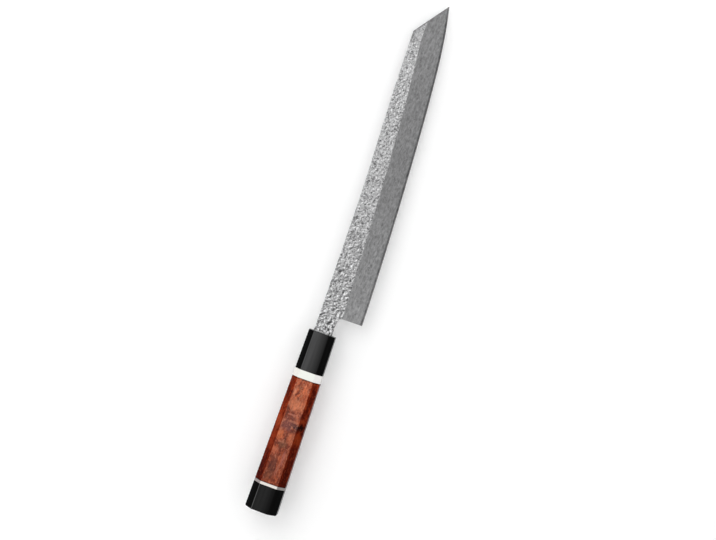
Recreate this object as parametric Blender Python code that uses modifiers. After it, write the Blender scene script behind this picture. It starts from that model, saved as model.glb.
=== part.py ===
"""A kiritsuke slicing knife with an octagonal Japanese handle, lying on its left side on a flat surface.

Metres, +Z up. Every piece is modelled in the knife's own frame: +X runs along the handle's axis to the tip,
-Y points to the cutting edge, and the origin is the middle of the ferrule's front face. An empty then lays
the whole knife down, so that the ferrule's lower front rim and the clip near the tip touch the surface at
z = 0.
"""

import math

import bmesh
import bpy
from mathutils import Matrix, Vector

# Blade, seen on its flat
NECK_LENGTH = 0.0142
EDGE_LENGTH = 0.2400
HEEL_DEPTH = 0.0253
TIP_DEPTH = 0.0089
SHOULDER_RISE = 0.0100
CLIP_LENGTH = 0.0251
RIDGE_ON_CLIP = 0.0100
RIDGE_AIM = 0.0045
NOTCH_LENGTH = 0.0065
NOTCH_DROP = 0.0031
GROUND_EDGE_WIDTH = 0.0010

# Blade, across its thickness
SPINE_THICKNESS = 0.0024
CLIP_THICKNESS = 0.0012
GROUND_EDGE_THICKNESS = 0.0004

# Tang, hidden in the handle
NECK_SEAT = 0.0040
TANG_SHOULDER = 0.0015
TANG_SIDE_ROOM = 0.00125
TANG_END_HEIGHT = 0.0050
TANG_END_THICKNESS = 0.0015

# Handle, front to back
FERRULE_LENGTH = 0.0295
FRONT_SPACER_LENGTH = 0.0059
GRIP_LENGTH = 0.0792
REAR_SPACER_LENGTH = 0.0020
END_CAP_LENGTH = 0.0195
GLUE_LINE = 0.00005

# Octagon, at the ferrule's front face and at the butt
FRONT_HEIGHT = 0.0203
FRONT_WIDTH = 0.0170
FRONT_FACET = 0.0044
BUTT_HEIGHT = 0.0242
BUTT_WIDTH = 0.0200
BUTT_FACET = 0.0055
CORNER_EASE = 0.0004
BUTT_CHAMFER = 0.0010
NECK_STEP = 0.00325

# Inside the handle
DOWEL_WALL = 0.0025
BEDDING_ROOM = 0.0006
BEDDING_SETBACK = 0.0004
FIT_GAP = 0.0001
SLOT_PAST_TANG = 0.0010
DOWEL_PAST_SLOT = 0.0070
WOOD_BETWEEN_DOWELS = 0.0045
END_DOWEL_DIAMETER = 0.0080
END_DOWEL_IN_GRIP = 0.0105
CAP_WALL = 0.0080

# Smoothness
NOTCH_STEPS = 6
SPINE_STEPS = 24
CLIP_STEPS = 8
ROUND_SIDES = 32
MERGE_DISTANCE = 0.000001
CUTTER_REACH = 0.0005

# Places along the knife that follow from the sizes
HEEL_X = NECK_LENGTH
TIP_X = HEEL_X + EDGE_LENGTH
SHOULDER_X = TIP_X - CLIP_LENGTH
RIDGE_END_X = SHOULDER_X + RIDGE_ON_CLIP
NOTCH_X = HEEL_X - NOTCH_LENGTH
FERRULE_BACK = -FERRULE_LENGTH
SPACER_BACK = FERRULE_BACK - FRONT_SPACER_LENGTH
GRIP_BACK = SPACER_BACK - GRIP_LENGTH
REAR_SPACER_BACK = GRIP_BACK - REAR_SPACER_LENGTH
BUTT_X = REAR_SPACER_BACK - END_CAP_LENGTH

# Sizes that follow from their neighbours
NECK_HALF = FRONT_HEIGHT / 2 - NECK_STEP
DOWEL_RADIUS = FRONT_WIDTH / 2 - DOWEL_WALL
END_DOWEL_RADIUS = END_DOWEL_DIAMETER / 2
SLOT_WIDTH = SPINE_THICKNESS + 2 * BEDDING_ROOM
TANG_HALF = DOWEL_RADIUS - TANG_SIDE_ROOM
TANG_FRONT_X = -(NECK_SEAT + TANG_SHOULDER)
DOWEL_FRONT_X = TANG_FRONT_X - CUTTER_REACH
END_DOWEL_FRONT_X = GRIP_BACK + END_DOWEL_IN_GRIP
DOWEL_BACK_X = END_DOWEL_FRONT_X + WOOD_BETWEEN_DOWELS
SLOT_END_X = DOWEL_BACK_X + DOWEL_PAST_SLOT
TANG_END_X = SLOT_END_X + SLOT_PAST_TANG
END_DOWEL_BACK_X = BUTT_X + CAP_WALL

# How the blade's lines bend: the even share of the bend, its power, and the power of the rest
EDGE_BEND = (0.72, 1.5, 9.0)
RIDGE_BEND = (0.57, 1.0, 3.2)

# Between these shares of its length the ridge turns from its aim to its end on the clip
RIDGE_SETTLE = (0.89, 0.985)

# The spine rises in a long soft step between these shares of its length
SPINE_STEP = (0.30, 0.97)


def bend(u, shape):
    """A line that goes from 0 to 1 as u does, gently at first and faster near its end."""
    share, slow, fast = shape
    return share * u**slow + (1.0 - share) * u**fast


def between(start, end, u):
    return start + (end - start) * u


def soft_step(u, start, end):
    """0 up to start, 1 from end on, and an even S between them."""
    v = min(max((u - start) / (end - start), 0.0), 1.0)
    return v * v * (3.0 - 2.0 * v)


def steps(start, end, count):
    """count + 1 places from start to end."""
    return [between(start, end, i / count) for i in range(count + 1)]


def clear_scene():
    for old in list(bpy.data.objects):
        bpy.data.objects.remove(old, do_unlink=True)


def collection(name):
    made = bpy.data.collections.new(name)
    bpy.context.scene.collection.children.link(made)
    return made


def material(name, colour, roughness, metallic=0.0):
    made = bpy.data.materials.new(name)
    made.use_nodes = True
    shader = made.node_tree.nodes["Principled BSDF"]
    shader.inputs["Base Color"].default_value = (*colour, 1.0)
    shader.inputs["Roughness"].default_value = roughness
    shader.inputs["Metallic"].default_value = metallic
    made.diffuse_color = (*colour, 1.0)
    return made


def object_from(bm, name, into, parent):
    """A named object with the mesh of bm, hung on the knife's empty."""
    mesh = bpy.data.meshes.new(name)
    bm.to_mesh(mesh)
    bm.free()
    made = bpy.data.objects.new(name, mesh)
    made.parent = parent
    into.objects.link(made)
    return made


def loft(bm, outlines):
    """Skins outlines of equal count, listed from back to front, and caps both ends."""
    rings = [[bm.verts.new(point) for point in outline] for outline in outlines]
    for back, front in zip(rings, rings[1:]):
        for i in range(len(back)):
            after = (i + 1) % len(back)
            bm.faces.new((back[i], back[after], front[after], front[i]))
    bm.faces.new(rings[0][::-1])
    bm.faces.new(rings[-1])
    bmesh.ops.recalc_face_normals(bm, faces=bm.faces)


# Blade


def spine_y(x):
    """Spine, then clip, as height above the handle's axis."""
    if x <= SHOULDER_X:
        u = (x - HEEL_X) / (SHOULDER_X - HEEL_X)
        return between(NECK_HALF, SHOULDER_RISE, soft_step(u, *SPINE_STEP))
    return between(SHOULDER_RISE, -TIP_DEPTH, (x - SHOULDER_X) / CLIP_LENGTH)


def edge_y(x):
    return -between(HEEL_DEPTH, TIP_DEPTH, bend((x - HEEL_X) / EDGE_LENGTH, EDGE_BEND))


def ridge_y(x):
    """The line between the upper flat and the bevel. Past its end on the clip it is the clip itself."""
    if x >= RIDGE_END_X:
        return spine_y(x)
    u = (x - HEEL_X) / (RIDGE_END_X - HEEL_X)
    line = between(-(NECK_HALF + NOTCH_DROP), RIDGE_AIM, bend(u, RIDGE_BEND))
    return between(line, spine_y(RIDGE_END_X), soft_step(u, *RIDGE_SETTLE))


def half_thickness(x):
    """Half the thickness of the upper flat, and of the clip up to the tip."""
    if x <= RIDGE_END_X:
        return between(SPINE_THICKNESS, CLIP_THICKNESS, (x - HEEL_X) / (RIDGE_END_X - HEEL_X)) / 2
    return between(CLIP_THICKNESS, 0.0, (x - RIDGE_END_X) / (TIP_X - RIDGE_END_X)) / 2


def blade_outline(x):
    """The right half of the blade's section at x, from the spine's middle to the edge."""
    half = half_thickness(x)
    bevel = ridge_y(x) - edge_y(x)
    ground = min(GROUND_EDGE_WIDTH, bevel / 2)
    ground_half = min(GROUND_EDGE_THICKNESS, half) / 2
    return [
        (x, spine_y(x), 0.0),
        (x, spine_y(x), half),
        (x, ridge_y(x), half),
        (x, edge_y(x) + ground, ground_half),
        (x, edge_y(x), 0.0),
    ]


def bar_outline(x, top, bottom, half):
    """The right half of a flat bar's section at x."""
    return [(x, top, 0.0), (x, top, half), (x, bottom, half), (x, bottom, 0.0)]


def tang_outlines():
    """Right halves of the tang and the neck, from the tang's end to the start of the notch."""
    half = SPINE_THICKNESS / 2
    end_half = TANG_END_HEIGHT / 2
    return [
        bar_outline(TANG_END_X, end_half, -end_half, TANG_END_THICKNESS / 2),
        bar_outline(TANG_FRONT_X, TANG_HALF, -TANG_HALF, half),
        bar_outline(-NECK_SEAT, NECK_HALF, -NECK_HALF, half),
        bar_outline(NOTCH_X, NECK_HALF, -NECK_HALF, half),
    ]


def notch_outlines():
    """The neck's belly side sweeping down to the heel in a quarter of an ellipse."""
    outlines = []
    for turn in steps(0.0, math.pi / 2, NOTCH_STEPS)[1:]:
        x = NOTCH_X + NOTCH_LENGTH * math.sin(turn)
        bottom = -NECK_HALF - NOTCH_DROP * (1.0 - math.cos(turn))
        outlines.append(bar_outline(x, NECK_HALF, bottom, SPINE_THICKNESS / 2))
    return outlines


def skin(bm, back, front):
    """Faces between two open rows of vertices, with their fronts away from the blade."""
    for i in range(min(len(back), len(front)) - 1):
        bm.faces.new((back[i], back[i + 1], front[i + 1], front[i]))


def build_blade(into, parent):
    bm = bmesh.new()
    bars = [[bm.verts.new(p) for p in outline] for outline in tang_outlines() + notch_outlines()]
    places = steps(HEEL_X, SHOULDER_X, SPINE_STEPS) + steps(RIDGE_END_X, TIP_X, CLIP_STEPS)
    rows = [[bm.verts.new(p) for p in blade_outline(x)] for x in places]
    heel = rows[0]
    for back, front in zip(bars, bars[1:]):
        skin(bm, back, front)
    for back, front in zip(rows, rows[1:]):
        skin(bm, back, front)
    tang_end, neck_front = bars[0], bars[-1]
    bm.faces.new(tang_end[::-1])
    bm.faces.new((*heel[:1:-1], neck_front[3]))
    bmesh.ops.remove_doubles(bm, verts=bm.verts, dist=MERGE_DISTANCE)
    blade = object_from(bm, "blade", into, parent)
    mirror = blade.modifiers.new("left side", "MIRROR")
    mirror.use_axis = (False, False, True)
    mirror.merge_threshold = MERGE_DISTANCE
    return blade


# Octagonal sections of the handle


def octagon(x, inset=0.0):
    """The handle's outline at x, with each corner eased to a small flat."""
    u = x / BUTT_X
    half_height = between(FRONT_HEIGHT, BUTT_HEIGHT, u) / 2 - inset
    half_width = between(FRONT_WIDTH, BUTT_WIDTH, u) / 2 - inset
    facet = between(FRONT_FACET, BUTT_FACET, u) - inset * (2.0 - math.sqrt(2.0))
    quarter = [Vector((half_height, half_width - facet)), Vector((half_height - facet, half_width))]
    corners = quarter + [Vector((-c.x, c.y)) for c in reversed(quarter)]
    corners += [-c for c in corners]
    outline = []
    for before, corner, after in zip(corners[-1:] + corners, corners, corners[1:] + corners[:1]):
        outline.append(corner + (before - corner).normalized() * CORNER_EASE)
        outline.append(corner + (after - corner).normalized() * CORNER_EASE)
    return [(x, point.x, point.y) for point in outline]


def build_section(name, front_x, back_x, into, parent, chamfer=0.0):
    """One section of the handle, with a chamfer round its back rim if it has one."""
    outlines = [octagon(back_x + chamfer), octagon(front_x)]
    if chamfer:
        outlines.insert(0, octagon(back_x, chamfer))
    bm = bmesh.new()
    loft(bm, outlines)
    return object_from(bm, name, into, parent)


# Round and flat pieces inside the handle


def build_rod(name, radius, front_x, back_x, into, parent):
    bm = bmesh.new()
    bmesh.ops.create_cone(
        bm, cap_ends=True, segments=ROUND_SIDES, radius1=radius, radius2=radius, depth=front_x - back_x
    )
    bm.transform(Matrix.Rotation(math.pi / 2, 4, "Y"))
    rod = object_from(bm, name, into, parent)
    rod.location.x = (front_x + back_x) / 2
    return rod


def build_box(name, front_x, back_x, height, width, into, parent):
    bm = bmesh.new()
    bmesh.ops.create_cube(bm, size=1.0)
    bm.transform(Matrix.Diagonal((front_x - back_x, height, width, 1.0)))
    box = object_from(bm, name, into, parent)
    box.location.x = (front_x + back_x) / 2
    return box


def build_bedding(into, parent):
    """A plate with a wider front, which fills the ferrule's mouth and the dowel's slot."""
    mouth_half = NECK_HALF + BEDDING_ROOM - FIT_GAP
    width_half = SLOT_WIDTH / 2 - FIT_GAP
    plate_half = math.sqrt(DOWEL_RADIUS**2 - (SLOT_WIDTH / 2) ** 2) - FIT_GAP
    front_x = -BEDDING_SETBACK
    step_x = TANG_FRONT_X
    back_x = SLOT_END_X + FIT_GAP
    side = [(front_x, mouth_half), (step_x, mouth_half), (step_x, plate_half), (back_x, plate_half)]
    side += [(x, -y) for x, y in reversed(side)]
    bm = bmesh.new()
    face = bm.faces.new([bm.verts.new((x, y, -width_half)) for x, y in side])
    grown = bmesh.ops.extrude_face_region(bm, geom=[face])
    top = [v for v in grown["geom"] if isinstance(v, bmesh.types.BMVert)]
    bmesh.ops.translate(bm, verts=top, vec=(0.0, 0.0, 2 * width_half))
    bmesh.ops.recalc_face_normals(bm, faces=bm.faces)
    return object_from(bm, "tang_bedding", into, parent)


def build_tang_cutter(into, parent):
    """The neck's root and the tang with a gap all round, as one closed bar."""
    half = SPINE_THICKNESS / 2 + FIT_GAP
    end_half = TANG_END_HEIGHT / 2 + FIT_GAP
    stations = [
        (TANG_END_X - FIT_GAP, end_half, TANG_END_THICKNESS / 2 + FIT_GAP),
        (TANG_FRONT_X - FIT_GAP, TANG_HALF + FIT_GAP, half),
        (-NECK_SEAT - FIT_GAP, NECK_HALF + FIT_GAP, half),
        (CUTTER_REACH, NECK_HALF + FIT_GAP, half),
    ]
    bm = bmesh.new()
    loft(bm, [[(x, h, -w), (x, h, w), (x, -h, w), (x, -h, -w)] for x, h, w in stations])
    return object_from(bm, "tang_cutter", into, parent)


def cut(piece, cutter):
    cutter.hide_render = True
    cutter.display_type = "WIRE"
    hole = piece.modifiers.new(cutter.name, "BOOLEAN")
    hole.operation = "DIFFERENCE"
    hole.solver = "EXACT"
    hole.object = cutter


def build_handle(into, cutters, parent):
    front_x = DOWEL_FRONT_X
    sections = {
        "ferrule": build_section("ferrule", 0.0, FERRULE_BACK, into, parent),
        "front_spacer": build_section(
            "front_spacer", FERRULE_BACK - GLUE_LINE, SPACER_BACK, into, parent
        ),
        "grip": build_section("grip", SPACER_BACK - GLUE_LINE, GRIP_BACK, into, parent),
        "rear_spacer": build_section(
            "rear_spacer", GRIP_BACK - GLUE_LINE, REAR_SPACER_BACK, into, parent
        ),
        "end_cap": build_section(
            "end_cap", REAR_SPACER_BACK - GLUE_LINE, BUTT_X, into, parent, BUTT_CHAMFER
        ),
    }
    core = build_rod("core_dowel", DOWEL_RADIUS, front_x - FIT_GAP, DOWEL_BACK_X, into, parent)
    end = build_rod("end_dowel", END_DOWEL_RADIUS, END_DOWEL_FRONT_X, END_DOWEL_BACK_X, into, parent)
    bedding = build_bedding(into, parent)

    mouth_height = 2 * (NECK_HALF + BEDDING_ROOM)
    mouth = build_box(
        "mouth_cutter", CUTTER_REACH, front_x - CUTTER_REACH, mouth_height, SLOT_WIDTH, cutters, parent
    )
    core_bore = build_rod(
        "core_bore_cutter", DOWEL_RADIUS + FIT_GAP, front_x, DOWEL_BACK_X - FIT_GAP, cutters, parent
    )
    end_bore = build_rod(
        "end_bore_cutter",
        END_DOWEL_RADIUS + FIT_GAP,
        END_DOWEL_FRONT_X + FIT_GAP,
        END_DOWEL_BACK_X - FIT_GAP,
        cutters,
        parent,
    )
    slot = build_box(
        "slot_cutter", 0.0, SLOT_END_X, 2 * (DOWEL_RADIUS + CUTTER_REACH), SLOT_WIDTH, cutters, parent
    )
    tang = build_tang_cutter(cutters, parent)

    cut(sections["ferrule"], mouth)
    for name in ("ferrule", "front_spacer", "grip"):
        cut(sections[name], core_bore)
    for name in ("grip", "rear_spacer", "end_cap"):
        cut(sections[name], end_bore)
    cut(core, slot)
    cut(bedding, tang)
    return {**sections, "core_dowel": core, "end_dowel": end, "tang_bedding": bedding}


def world_corners(pieces):
    """Every vertex of the finished pieces, in the world."""
    graph = bpy.context.evaluated_depsgraph_get()
    found = []
    for piece in pieces:
        seen = piece.evaluated_get(graph)
        found += [seen.matrix_world @ v.co for v in seen.data.vertices]
    return found


def lay_down(rest, blade, pieces):
    """Tips the knife until ferrule and blade rest on one plane, then centres it on z = 0."""
    bpy.context.view_layer.update()
    pivot_z = -FRONT_WIDTH / 2
    slopes = [(v.z - pivot_z) / v.x for v in world_corners([blade]) if v.x > HEEL_X]
    rest.rotation_euler.y = math.atan(min(slopes))
    bpy.context.view_layer.update()
    points = world_corners(pieces)
    low = Vector([min(p[i] for p in points) for i in range(3)])
    high = Vector([max(p[i] for p in points) for i in range(3)])
    rest.location = (-(low.x + high.x) / 2, -(low.y + high.y) / 2, -low.z)
    bpy.context.view_layer.update()


def finish_pieces(pieces):
    """Gives each piece its material, and shades the round ones smooth."""
    steel = material("forged_steel", (0.42, 0.42, 0.43), 0.38, 1.0)
    horn = material("black_horn", (0.008, 0.008, 0.009), 0.22)
    white = material("white_spacer", (0.86, 0.85, 0.78), 0.35)
    burl = material("red_burl_wood", (0.27, 0.062, 0.030), 0.28)
    dowel = material("pale_hardwood", (0.55, 0.38, 0.22), 0.60)
    resin = material("amber_resin", (0.16, 0.10, 0.05), 0.30)
    worn_by = {
        "blade": steel,
        "ferrule": horn,
        "front_spacer": white,
        "grip": burl,
        "rear_spacer": white,
        "end_cap": horn,
        "core_dowel": dowel,
        "end_dowel": dowel,
        "tang_bedding": resin,
    }
    for name, piece in pieces.items():
        piece.data.materials.append(worn_by[name])
    for name in ("core_dowel", "end_dowel"):
        pieces[name].data.shade_smooth()
        pieces[name].data.set_sharp_from_angle(angle=math.radians(40.0))


def main():
    clear_scene()
    knife = collection("kiritsuke_knife")
    cutters = collection("cutters")
    rest = bpy.data.objects.new("knife_at_rest", None)
    knife.objects.link(rest)
    blade = build_blade(knife, rest)
    pieces = {"blade": blade, **build_handle(knife, cutters, rest)}
    finish_pieces(pieces)
    lay_down(rest, blade, pieces.values())


main()
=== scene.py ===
"""Looks of the kiritsuke knife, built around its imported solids. Metres, in the frame of the CAD."""
import math

import bmesh
import bpy
from mathutils import Matrix, Vector, noise


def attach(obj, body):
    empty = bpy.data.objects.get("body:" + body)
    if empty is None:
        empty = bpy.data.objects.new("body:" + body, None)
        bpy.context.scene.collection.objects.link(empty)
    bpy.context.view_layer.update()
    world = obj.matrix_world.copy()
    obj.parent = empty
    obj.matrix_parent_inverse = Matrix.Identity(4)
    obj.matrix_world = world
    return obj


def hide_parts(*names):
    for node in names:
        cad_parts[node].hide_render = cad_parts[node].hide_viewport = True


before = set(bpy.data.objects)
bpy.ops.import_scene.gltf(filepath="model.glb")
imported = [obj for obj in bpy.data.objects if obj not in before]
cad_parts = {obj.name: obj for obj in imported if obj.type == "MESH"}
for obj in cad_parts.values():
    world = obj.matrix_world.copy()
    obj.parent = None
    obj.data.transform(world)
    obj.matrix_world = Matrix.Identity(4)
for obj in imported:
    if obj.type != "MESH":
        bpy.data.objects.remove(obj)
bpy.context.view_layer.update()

MM_PER_M = 1000.0

# How the CAD lays the knife down. The knife's own frame has +X to the tip, -Y to the edge and +Z out of
# its right side
PITCH = math.radians(1.8923967574360625)
KNIFE_AT = (-0.058869197964668274, 0.006607163697481155, 0.008495364338159561)
REST = Matrix.Translation(KNIFE_AT) @ Matrix.Rotation(PITCH, 4, "Y")

# Blade, as in the CAD
NECK_LENGTH = 0.0142
EDGE_LENGTH = 0.2400
HEEL_DEPTH = 0.0253
TIP_DEPTH = 0.0089
SHOULDER_RISE = 0.0100
CLIP_LENGTH = 0.0251
RIDGE_ON_CLIP = 0.0100
RIDGE_AIM = 0.0045
NOTCH_LENGTH = 0.0065
NOTCH_DROP = 0.0031
GROUND_EDGE_WIDTH = 0.0010
SPINE_THICKNESS = 0.0024
CLIP_THICKNESS = 0.0012
GROUND_EDGE_THICKNESS = 0.0004
EDGE_BEND = (0.72, 1.5, 9.0)
RIDGE_BEND = (0.57, 1.0, 3.2)
RIDGE_SETTLE = (0.89, 0.985)
SPINE_STEP = (0.30, 0.97)
NECK_SEAT = 0.0040
TANG_SHOULDER = 0.0015
TANG_HALF = 0.00475
TANG_END_HALF = 0.0025
TANG_END_X = -0.0916
TANG_END_THICKNESS = 0.0015

# Handle, as in the CAD
FERRULE_LENGTH = 0.0295
FRONT_SPACER_LENGTH = 0.0059
GRIP_LENGTH = 0.0792
REAR_SPACER_LENGTH = 0.0020
END_CAP_LENGTH = 0.0195
GLUE_LINE = 0.00005
FRONT_HEIGHT = 0.0203
FRONT_WIDTH = 0.0170
FRONT_FACET = 0.0044
BUTT_HEIGHT = 0.0242
BUTT_WIDTH = 0.0200
BUTT_FACET = 0.0055
CORNER_EASE = 0.0004
NECK_STEP = 0.00325
BORE_RADIUS = 0.0061
END_BORE_RADIUS = 0.0041
BORE_FRONT_X = -0.0060
BORE_BACK_X = -0.0997
END_BORE_FRONT_X = -0.1040
END_BORE_BACK_X = -0.1282
MOUTH_HALF_HEIGHT = 0.0075
MOUTH_WIDTH = 0.0036

HEEL_X = NECK_LENGTH
TIP_X = HEEL_X + EDGE_LENGTH
SHOULDER_X = TIP_X - CLIP_LENGTH
RIDGE_END_X = SHOULDER_X + RIDGE_ON_CLIP
NOTCH_X = HEEL_X - NOTCH_LENGTH
FERRULE_BACK = -FERRULE_LENGTH
SPACER_BACK = FERRULE_BACK - FRONT_SPACER_LENGTH
GRIP_BACK = SPACER_BACK - GRIP_LENGTH
REAR_SPACER_BACK = GRIP_BACK - REAR_SPACER_LENGTH
BUTT_X = REAR_SPACER_BACK - END_CAP_LENGTH
NECK_HALF = FRONT_HEIGHT / 2 - NECK_STEP

# Fineness of the blade's mesh
STATION_STEP = 0.00040
FLAT_COLUMNS = 38
RIM_COLUMNS = 7
RIM_WIDTH = 0.0026
RIM_SHARE = 0.4
BEVEL_COLUMNS = 6
SPINE_COLUMNS = 3
NARROWEST_BEVEL = 0.0001
MERGE_DISTANCE = 0.0000015
BLADE_SHARP_ANGLE = math.radians(38.0)

# Hammered skin: marks in millimetres, depths in metres and as shares of the deepest mark
MARK_AT_NECK = 1.60
MARK_AT_TIP = 1.15
MARK_DEPTH = 0.00012
MEAN_MARK = 0.42
BLOW_DEPTH = 0.42
BLOW_GAIN = 1.6
STROKE_DEPTH = 0.30
RAGGED_RIDGE = 0.0022
RIGHT_SEED = 3.7
LEFT_SEED = 41.3
SWIRL_SEED = 23

# Its noises, in units of a mark: how each is squeezed, swirled and moved, and the limits that cut marks
# out of it
# The marks' slopes get painted light and shade, as if lit from LIT_FROM
LIT_FROM = Vector((0.16, 0.26, 0.0))
SWIRL_SQUEEZE = 0.8
SWIRL_REACH = 0.45
BLOW_SQUEEZE = 0.85
RELIEF_SQUEEZE = 0.95
FINE_RELIEF = 0.55
FINE_RELIEF_SQUEEZE = 2.1
FINE_RELIEF_SWIRL = 1.5
RELIEF_SHIFT = Vector((7.1, 3.3, 9.2))
THREAD_SQUEEZE = 0.90
THREAD_SWIRL = 2.4
THREAD_SHIFT = Vector((31.0, 12.0, 5.0))
THREAD_LIMITS = (0.075, 0.01)
SHORT_SQUEEZE = 0.60
SHORT_SHIFT = Vector((3.0, 77.0, 1.0))
SHORT_LIMITS = (-0.10, 0.25)
GRIT_SQUEEZE = 2.0
SPARK_TILT = 0.5
SPARK_LIMITS = (0.42, 0.80)
DOT_SQUEEZE = 0.95
DOT_SHIFT = Vector((58.0, 21.0, 6.0))
DOT_LIMITS = (0.14, 0.42)

# Its shade, from 0, dark, to 1, bright: each noise's share, and the spans along the blade that change it. Of
# these, TILT_SHADE paints light and shade on the marks' slopes and SPARK_SHADE paints glints
MEAN_SHADE = 0.51
TILT_SHADE = 0.34
GRIT_SHADE = 0.20
STROKE_SHADE = 0.36
SPARK_SHADE = 0.18
DOT_SHADE = 0.20
BLOW_SHADES = (0.34, 0.20)
BLOW_SPAN = (0.008, 0.030)
NECK_CONTRAST = 1.22
HEEL_CONTRAST = 0.94
HEEL_SPAN = (0.008, 0.020)
FAR_CONTRAST = 0.45
FAR_SPAN = (0.030, 0.095)
DOTS_AT_TIP = 0.55
DOT_SPAN = (0.165, 0.205)
NECK_LIGHT = 0.035
NECK_LIGHT_SPAN = (0.020, 0.006)
MIDDLE_LIGHT = 0.040
MIDDLE_LIGHT_SPAN = (0.045, 0.105)
TIP_DIMMING = 0.018
TIP_DIMMING_SPAN = (0.135, 0.175)

# The marks fade out between these two distances from the clip's shoulder. The shades after them are those
# of the calmer steel there and of the blade's margins
SMOOTHING_STARTS = 0.013
SMOOTHING_ENDS = 0.003
CALM_SHADE = 0.47
CALM_CONTRAST = 0.45
CALM_SLOPE = (-0.08, 0.05)
MIDDLE_SHADE = 0.5
PLAIN_SHADE = 0.55
BELLY_SHADE = 0.35
SPINE_SHADE = 0.40
SPINE_MARGIN = (0.0013, 0.0004)
SPINE_MARGIN_LIGHT = (0.020, -0.09)
HAMMERED_LIMITS = (-0.000004, 0.000012)
# A painted dark reflection along the cutting edge: the width of its line, its shade and its spread
EDGE_LINE_WIDTH = 0.0007
EDGE_LINE_SHADE = 0.16
EDGE_LINE_SPREAD = 0.22
# Painted shade along the clip's rim
CLIP_LINE_SHADE = 0.28
CLIP_LINE_WIDTHS = (0.0006, 0.0002)
CLIP_LINE_RAGGED = 0.0002
CLIP_LINE_GRAIN = 1300.0
CLIP_LINE_LAYER = 4.0

# The scalloped spine. A ripple has its grain along the blade, and its lane and layer in the noise
SCALLOP = 0.00042
SCALLOP_MEAN = 0.45
SCALLOP_GAIN = 0.9
SCALLOP_FINE = 0.5
SCALLOP_RIPPLE = (420.0, 5.0, 8.0)
SCALLOP_FINE_RIPPLE = (900.0, 9.0, 2.0)
SCALLOP_FAR = 0.60
SCALLOP_SPAN = (0.012, 0.06)
SCALLOP_END = 0.004
EDGE_LINE_RIPPLE = (260.0, 7.0, 1.0)

# Handle's finish
CROWN = 0.00010
FACET_COLUMNS = 8
CORNER_COLUMNS = 4
SECTION_ROWS = 6
ROUND_ROWS = 4
JOINT_EASE = 0.00008
FERRULE_ROUND = 0.0003
BUTT_ROUND = 0.0011
BORE_SEGMENTS = 48
MOUTH_OVERLAP = 0.0005
HANDLE_SHARP_ANGLE = math.radians(30.0)


def between(start, end, u):
    return start + (end - start) * u


def clamp(value, low=0.0, high=1.0):
    return min(max(value, low), high)


def soft_step(u, start, end):
    """0 up to start, 1 from end on, and an even S between them."""
    v = clamp((u - start) / (end - start))
    return v * v * (3.0 - 2.0 * v)


def bend(u, shape):
    share, slow, fast = shape
    return share * u**slow + (1.0 - share) * u**fast


# Shape of the blade


def spine_y(x):
    if x <= HEEL_X:
        return NECK_HALF
    if x <= SHOULDER_X:
        u = (x - HEEL_X) / (SHOULDER_X - HEEL_X)
        return between(NECK_HALF, SHOULDER_RISE, soft_step(u, *SPINE_STEP))
    return between(SHOULDER_RISE, -TIP_DEPTH, (x - SHOULDER_X) / CLIP_LENGTH)


def edge_y(x):
    return -between(HEEL_DEPTH, TIP_DEPTH, bend((x - HEEL_X) / EDGE_LENGTH, EDGE_BEND))


def ridge_y(x):
    """Lower limit of the flat: the neck's belly, the notch, the ridge line, and then the clip."""
    if x <= NOTCH_X:
        return -NECK_HALF
    if x <= HEEL_X:
        turn = math.asin(clamp((x - NOTCH_X) / NOTCH_LENGTH))
        return -NECK_HALF - NOTCH_DROP * (1.0 - math.cos(turn))
    if x >= RIDGE_END_X:
        return spine_y(x)
    u = (x - HEEL_X) / (RIDGE_END_X - HEEL_X)
    line = between(-(NECK_HALF + NOTCH_DROP), RIDGE_AIM, bend(u, RIDGE_BEND))
    return between(line, spine_y(RIDGE_END_X), soft_step(u, *RIDGE_SETTLE))


def half_thickness(x):
    if x <= HEEL_X:
        return SPINE_THICKNESS / 2
    if x <= RIDGE_END_X:
        return between(SPINE_THICKNESS, CLIP_THICKNESS, (x - HEEL_X) / (RIDGE_END_X - HEEL_X)) / 2
    return between(CLIP_THICKNESS, 0.0, (x - RIDGE_END_X) / (TIP_X - RIDGE_END_X)) / 2


def mark_place(x, y, seed):
    """A place on the hammered skin in units of its marks, which get smaller towards the tip."""
    shrink = (MARK_AT_TIP - MARK_AT_NECK) / (SHOULDER_X * MM_PER_M)
    along = x * MM_PER_M
    size = MARK_AT_NECK + shrink * along
    return Vector((math.log(1.0 + shrink * along / MARK_AT_NECK) / shrink, y * MM_PER_M / size, seed))


def relief(place, swirl):
    fine = noise.noise(place * FINE_RELIEF_SQUEEZE + swirl * FINE_RELIEF_SWIRL + RELIEF_SHIFT)
    return noise.noise(place * RELIEF_SQUEEZE + swirl) + FINE_RELIEF * fine


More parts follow.
